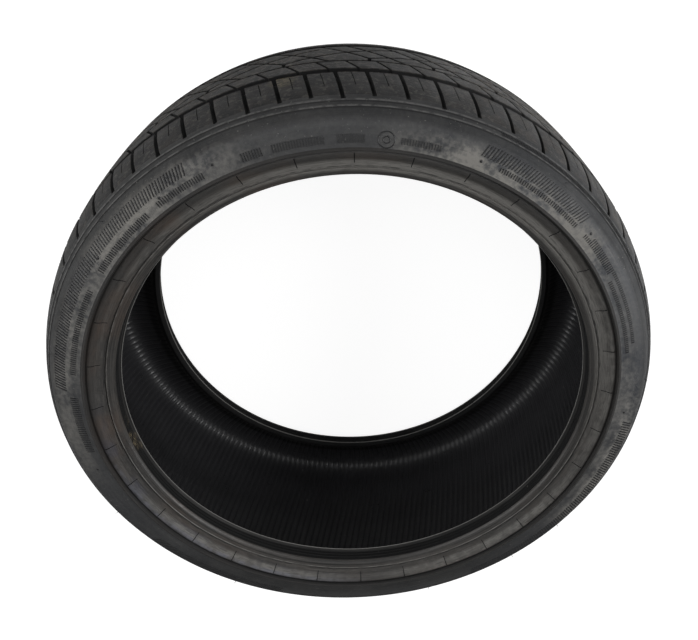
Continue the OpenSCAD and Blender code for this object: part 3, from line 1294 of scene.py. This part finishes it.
@dataclass(frozen=True)
class WallRubber(Rubber):
    """Side wall rubber: grey dust in patches towards the rim protector, rubbed shoulder ribs and scuffs, a
    painted bluish sheen and painted shade.
    """

    dust: Colour = (0.165, 0.158, 0.145)
    worn: Colour = (0.085, 0.084, 0.082)
    cool_sheen: Colour = (0.030, 0.034, 0.042)
    rib_r: tuple[float, float] = (0.3067, 0.3103)
    inner_dust: tuple[Beam, ...] = ((-50.0, 40.0, 0.85), (35.0, 32.0, 1.5), (92.0, 44.0, 0.4))
    middle_dust: tuple[Beam, ...] = ((110.0, 24.0, 0.8), (-40.0, 24.0, 0.7), (-84.0, 28.0, 0.5))
    dust_all: float = 0.10

    def dirt_and_painted_light(self, shader: Shader) -> Value:
        """Lays the painted bluish sheen, the darker upper wall, painted shade at the bottom, at the top and
        at the foot of the shoulder ribs, the dust, the scuffs and the two rubbed ribs.

        Args:
            shader: The shader that takes them.

        Returns:
            How much the dirt dulls each place.
        """
        # painted bluish sheen towards the right
        shader.coat(shader.beam(55.0, 60.0) * 0.6, self.cool_sheen)
        high = shader.radius.step(0.293, 0.301)
        shader.coat(high * (shader.beam(-55.0, 60.0) * 0.3 + 0.6), self.shade(0.15))
        # painted shade: darker towards the bottom, most on the inner wall, and in a narrow zone at the top
        low = shader.beam(180.0, 52.0) * (1.0 - shader.radius.step(0.280, 0.292) * 0.5)
        shader.coat(low * 0.92, self.shade(0.12))
        shader.coat(shader.beam(8.0, 26.0) * 0.35, self.shade(0.3))
        inner = shader.beams(self.inner_dust) * (1.0 - shader.radius.step(0.280, 0.301))
        middle = shader.beams(self.middle_dust) * shader.band(0.292, 0.012)
        patches = shader.cloud(30.0, 7.0, 0.34, 0.64) * 0.5 + shader.cloud(230.0, 5.0, 0.36, 0.66) * 0.45
        dust = patches * (inner + middle + self.dust_all)
        shader.coat(dust, self.dust)
        shader.coat(shader.streaks(520.0, 9.0).step(0.6, 0.75) * 0.4, self.shade(0.4))
        broken = shader.cloud(160.0, 4.0, 0.36, 0.56)
        for r in self.rib_r:
            # painted shade along the foot of each shoulder rib
            shader.coat(shader.band(r - 0.0012, 0.0008) * 0.7, BLACK)
            shader.coat(shader.band(r, 0.0006) * (broken * 0.75 + 0.1), self.worn)
        shader.coat(shader.cloud(520.0, 2.0, 0.68, 0.76) * 0.6, self.dust)
        return dust + high


@dataclass(frozen=True)
class BeadRubber(Rubber):
    """Bead rubber: brown tint, fitting lines and marks, painted highlights, painted shade in the crease and
    under the protector edge, and a faint painted bluish sheen.
    """

    brown: Colour = (0.066, 0.048, 0.037)
    rubbed: Colour = (0.130, 0.125, 0.116)
    violet_sheen: Colour = (0.038, 0.039, 0.052)
    cold_highlight: Colour = (0.120, 0.123, 0.142)
    ridge_r: float = 0.2514
    highlight_beams: tuple[Beam, ...] = ((-146.0, 36.0, 1.0), (143.0, 36.0, 1.0), (84.0, 36.0, 0.8))

    def dirt_and_painted_light(self, shader: Shader) -> Value:
        """Lays the brown tint, the painted sheen and highlights, the fitting lines, the rubbed marks, and
        painted shade under and beyond the protector edge and in the crease.

        Args:
            shader: The shader that takes them.

        Returns:
            How much the dirt dulls each place.
        """
        tint = shader.cloud(16.0, 5.0, 0.4, 0.64)
        shader.coat(tint * (shader.beam(-70.0, 90.0) * 0.6 + 0.12), self.brown)
        # painted bluish sheen on the lower left of the bead
        sheen = shader.cloud(26.0, 4.0, 0.42, 0.6) * shader.band(0.264, 0.008)
        shader.coat(sheen * shader.beam(-128.0, 55.0) * 0.7, self.violet_sheen)
        lines = shader.streaks(1100.0, 2.0).step(0.5, 0.6) * shader.band(0.2490, 0.008)
        shader.coat(lines * 0.75, self.shade(0.15))
        # painted shadow under the rim protector's edge, except towards the bottom
        protector_shadow = shader.band(0.2668, 0.0040) * (1.0 - shader.beam(180.0, 75.0))
        shader.coat(protector_shadow * 0.35, self.shade(0.3))
        worn = shader.streaks(700.0, 9.0).step(0.44, 0.64) * shader.band(0.2550, 0.0070)
        marks = shader.cloud(110.0, 6.0, 0.38, 0.62)
        face = shader.band(0.2550, 0.0075) * shader.beam(28.0, 90.0)
        shader.coat(face * 0.95, self.rubbed)
        shader.coat(worn * marks * (shader.beam(26.0, 105.0) * 0.75 + 0.25), self.rubbed)
        # painted highlights in the rubbed tone, on three sides of the band
        low = shader.band(0.2635, 0.006) * shader.beams(self.highlight_beams)
        shader.coat(low * (marks * 0.5 + 0.4), self.rubbed)
        # painted cool highlight at the lower left, next to the crease
        cool_sheen = shader.band(0.2662, 0.0035) * shader.beam(-140.0, 46.0)
        shader.coat(cool_sheen * (marks * 0.6 + 0.2), self.cold_highlight)
        shader.coat(shader.streaks(1600.0, 26.0).step(0.48, 0.64) * 0.5, self.shade(0.4))
        # painted shade on the protector edge beyond the crease, which also dulls it
        outside = shader.radius.step(0.2697, 0.2705) * 0.8
        shader.coat(outside, self.shade(0.25))
        seam = shader.band(self.ridge_r + 0.0022, 0.0010)
        shader.coat(seam * (lines * 0.3 + marks * 0.6), BLACK)
        shader.coat(shader.band(self.ridge_r, 0.0007) * (marks * 0.5 + 0.3), self.rubbed)
        # black crease: painted shade, with some dirt
        crease = shader.band(0.2692, 0.0015)
        shader.coat(crease * (shader.beam(180.0, 110.0) * 0.5 + 0.45), BLACK)
        return worn * marks * 0.5 + outside * 1.8


@dataclass(frozen=True)
class LinerRubber(Rubber):
    """Inside and bead seat: black, with painted light towards the rear, painted shade on the seat, a painted
    highlight line on the toe and a trace of straw.
    """

    toe: Colour = (0.150, 0.147, 0.140)
    rubbed: Colour = (0.055, 0.053, 0.050)
    straw: Colour = (0.230, 0.185, 0.110)

    def dirt_and_painted_light(self, shader: Shader) -> Value:
        """Lays painted light on the rear half, painted shade on the seat, paler streaks near the toe, the
        toe's painted highlight line, the straw and crumbs.

        Args:
            shader: The shader that takes them.

        Returns:
            How much the dirt dulls each place.
        """
        # painted light on the rear half of the inside
        painted_rear_light = 1.0 - shader.height.step(-0.075, -0.015)
        shader.coat(painted_rear_light * 0.8, self.pale)
        # painted shade: the bead seat and toe black
        low = 1.0 - shader.radius.step(0.2600, 0.2680)
        shader.coat(low, BLACK)
        tall = shader.height.absolute()
        lines = shader.streaks(1500.0, 2.5).step(0.42, 0.62)
        near = tall.step(0.0965, 0.0972) * (1.0 - tall.step(0.0988, 0.1006))
        shader.coat(near * low * (lines * 0.4 + 0.05), self.rubbed)
        # painted highlight: a thin pale line along the toe's edge
        line = tall.step(0.0959, 0.0962) * (1.0 - tall.step(0.0971, 0.0975))
        shader.coat(line * (1.0 - shader.radius.step(0.2425, 0.2432)), self.toe)
        fibre = shader.streaks(2600.0, 60.0).step(0.46, 0.66) * shader.cloud(90.0, 5.0, 0.42, 0.6)
        shader.coat(shader.spot(-101.0, 0.242, 0.0985, 0.032) * fibre * 0.7, self.straw)
        shader.coat(shader.cloud(150.0, 2.0, 0.75, 0.79) * 0.5, self.toe)
        return low * 0.8


@dataclass(frozen=True)
class PhotoCamera:
    """The photograph's viewpoint, measured against the tyre."""

    distance: float = 0.9066
    tilt: float = 32.87
    roll: float = -2.168
    aim_right: float = 0.0663
    aim_up: float = 0.0765
    focal_px: float = 771.9
    centre_px: tuple[float, float] = (405.1, 275.7)
    sensor_mm: float = 36.0
    nearest: float = 0.01

    def build(self) -> bpy.types.Object:
        """Adds the camera and makes it the scene's.

        Returns:
            The camera.
        """
        tilt, roll = math.radians(self.tilt), math.radians(self.roll)
        back = Vector((0, math.sin(tilt), math.cos(tilt)))
        right = Vector((1, 0, 0))
        up = Vector((0, math.cos(tilt), -math.sin(tilt)))
        look = (-back + right * self.aim_right + up * self.aim_up).normalized()
        right = look.cross(up).normalized()
        up = right.cross(look)
        rolled_right = right * math.cos(roll) + up * math.sin(roll)
        rolled_up = up * math.cos(roll) - right * math.sin(roll)
        bpy.ops.object.camera_add()
        camera = bpy.context.object
        camera.name = "photo_camera"
        turn = Matrix((rolled_right, rolled_up, -look)).transposed().to_4x4()
        camera.matrix_world = Matrix.Translation(back * self.distance) @ turn
        width, height = PHOTO_SIZE
        camera.data.sensor_width = self.sensor_mm
        camera.data.lens = camera.data.sensor_width * self.focal_px / width
        camera.data.shift_x = (width / 2 - self.centre_px[0]) / width
        camera.data.shift_y = (self.centre_px[1] - height / 2) / width
        camera.data.clip_start = self.nearest
        bpy.context.scene.camera = camera
        return camera


@dataclass
class Studio:
    """Plain pale floor, white surroundings and soft lamps, each with name, place, size and power."""

    floor_z: float
    floor_size: float = 12.0
    paint: Colour = (0.85, 0.85, 0.85)
    paint_rough: float = 0.9
    glow: float = 1.45
    share: float = 0.62
    air: float = 0.12
    lamps: tuple[tuple[str, tuple[float, float, float], float, float], ...] = (
        ("right", (1.8, 0.2, 1.0), 1.2, 31.6),
        ("left", (-1.8, 0.2, 1.0), 1.2, 17.7),
        ("left_top", (-1.3, 1.3, 0.9), 1.0, 8.9),
        ("right_top", (1.3, 1.3, 0.9), 1.0, 2.6),
        ("over_camera", (0.0, 0.9, 1.6), 1.0, 4.8),
        ("bottom", (0.0, -1.6, 1.2), 1.2, 1.3),
        ("over", (0.0, 0.0, 2.2), 1.5, 0.9),
    )

    def floor(self) -> bpy.types.Object:
        """Adds the floor, which shows white to the camera and keeps the tyre's shadow.

        Returns:
            The floor.
        """
        bpy.ops.object.select_all(action="DESELECT")
        bpy.ops.mesh.primitive_plane_add(size=self.floor_size, location=(0, 0, self.floor_z))
        obj = bpy.context.object
        obj.name = "floor"
        bpy.ops.object.transform_apply(location=True)
        shader = Shader("floor_paint", self.paint)
        shader.feed(Base_Color=shader.colour, Roughness=self.paint_rough)
        glow = shader.node("ShaderNodeEmission", {}, {"Color": (1, 1, 1, 1), "Strength": self.glow})
        seen = shader.node("ShaderNodeLightPath", {}, {}, "Is Camera Ray")
        paint = Value(shader, shader.surface.outputs[0])
        both = shader.node("ShaderNodeMixShader", {}, {0: seen * self.share, 1: paint, 2: glow})
        shader.link(both, shader.tree.nodes["Material Output"].inputs["Surface"])
        obj.data.materials.append(shader.material)
        return obj

    def surroundings(self) -> None:
        """Makes the world pale for light and white for the camera."""
        world = bpy.data.worlds.new("studio_air")
        bpy.context.scene.world = world
        world.use_nodes = True
        nodes, links = world.node_tree.nodes, world.node_tree.links
        seen, strength = nodes.new("ShaderNodeLightPath"), nodes.new("ShaderNodeMapRange")
        strength.inputs["To Min"].default_value = self.air
        links.new(seen.outputs["Is Camera Ray"], strength.inputs["Value"])
        nodes["Background"].inputs["Color"].default_value = (1, 1, 1, 1)
        links.new(strength.outputs[0], nodes["Background"].inputs["Strength"])

    def light(self) -> None:
        """Adds the soft lamps, each aimed at the tyre."""
        for name, place, size, power in self.lamps:
            bpy.ops.object.light_add(type="AREA", location=place)
            lamp = bpy.context.object
            lamp.name = name
            lamp.data.shape = "DISK"
            lamp.data.size = size
            lamp.data.energy = power
            lamp.rotation_euler = Vector(place).to_track_quat("Z", "Y").to_euler()

    def build(self) -> None:
        """Adds floor, surroundings and lamps."""
        self.floor()
        self.surroundings()
        self.light()
        bpy.context.scene.view_settings.view_transform = "Standard"


RUBBERS = (
    TreadRubber(
        "tread_rubber", (0.0248, 0.0256, 0.0276), (0.070, 0.066, 0.060),
        rough=0.58, streak_share=0.12, skin=0.35, gloss=0.38,
    ),
    WallRubber(
        "wall_rubber", (0.0285, 0.0298, 0.0325), (0.062, 0.061, 0.059),
        rough=0.47, streak_share=0.25, skin=0.28,
    ),
    BeadRubber(
        "bead_rubber", (0.040, 0.038, 0.036), (0.085, 0.080, 0.073), rough=0.45, streak_share=0.45, skin=0.40
    ),
    LinerRubber(
        "liner_rubber", (0.0130, 0.0130, 0.0144), (0.026, 0.026, 0.028),
        rough=0.52, streak_share=0.10, skin=0.15, gloss=0.3,
    ),
)
RIB_RUBBER = LinerRubber(
    "rib_rubber", (0.0098, 0.0098, 0.0110), (0.026, 0.026, 0.028),
    rough=0.38, streak_share=0.15, skin=0.12, gloss=0.45,
)
MARK_RUBBER = Rubber(
    "mark_rubber", (0.010, 0.010, 0.011), (0.040, 0.040, 0.040), rough=0.42, streak_share=0.10, skin=0.15
)


def dress(obj: bpy.types.Object) -> None:
    """Lets a piece ride on the tyre's body and reports it.

    Args:
        obj: The piece.
    """
    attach(obj, BODY)
    faces = sum(len(face.vertices) - 2 for face in obj.data.polygons)
    LOG.info("%s: %d triangles", obj.name, faces)


def main() -> None:
    """Builds the pieces, the studio and the camera in order."""
    logging.basicConfig(level=logging.INFO, format="%(name)s %(message)s")
    seat_r = frame["record"]["mounts"][0]["dims"]["r_mm"]
    section = Section(seat_r=seat_r, side_z=round(CAD_BOX[1].z / MM, 1))
    finishes = [rubber.material() for rubber in RUBBERS]
    casing = Casing(section).build(finishes)
    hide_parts(NODE)
    dress(casing)
    dress(LinerRibs(section).build(RIB_RUBBER.material()))
    dress(WallHatching(section).build(MARK_RUBBER.material()))
    dress(VentHairs(section).build(finishes[Region.WALL.value]))
    Studio(floor_z=CAD_BOX[0].z).build()
    PhotoCamera().build()


if __name__ == "__main__":
    main()
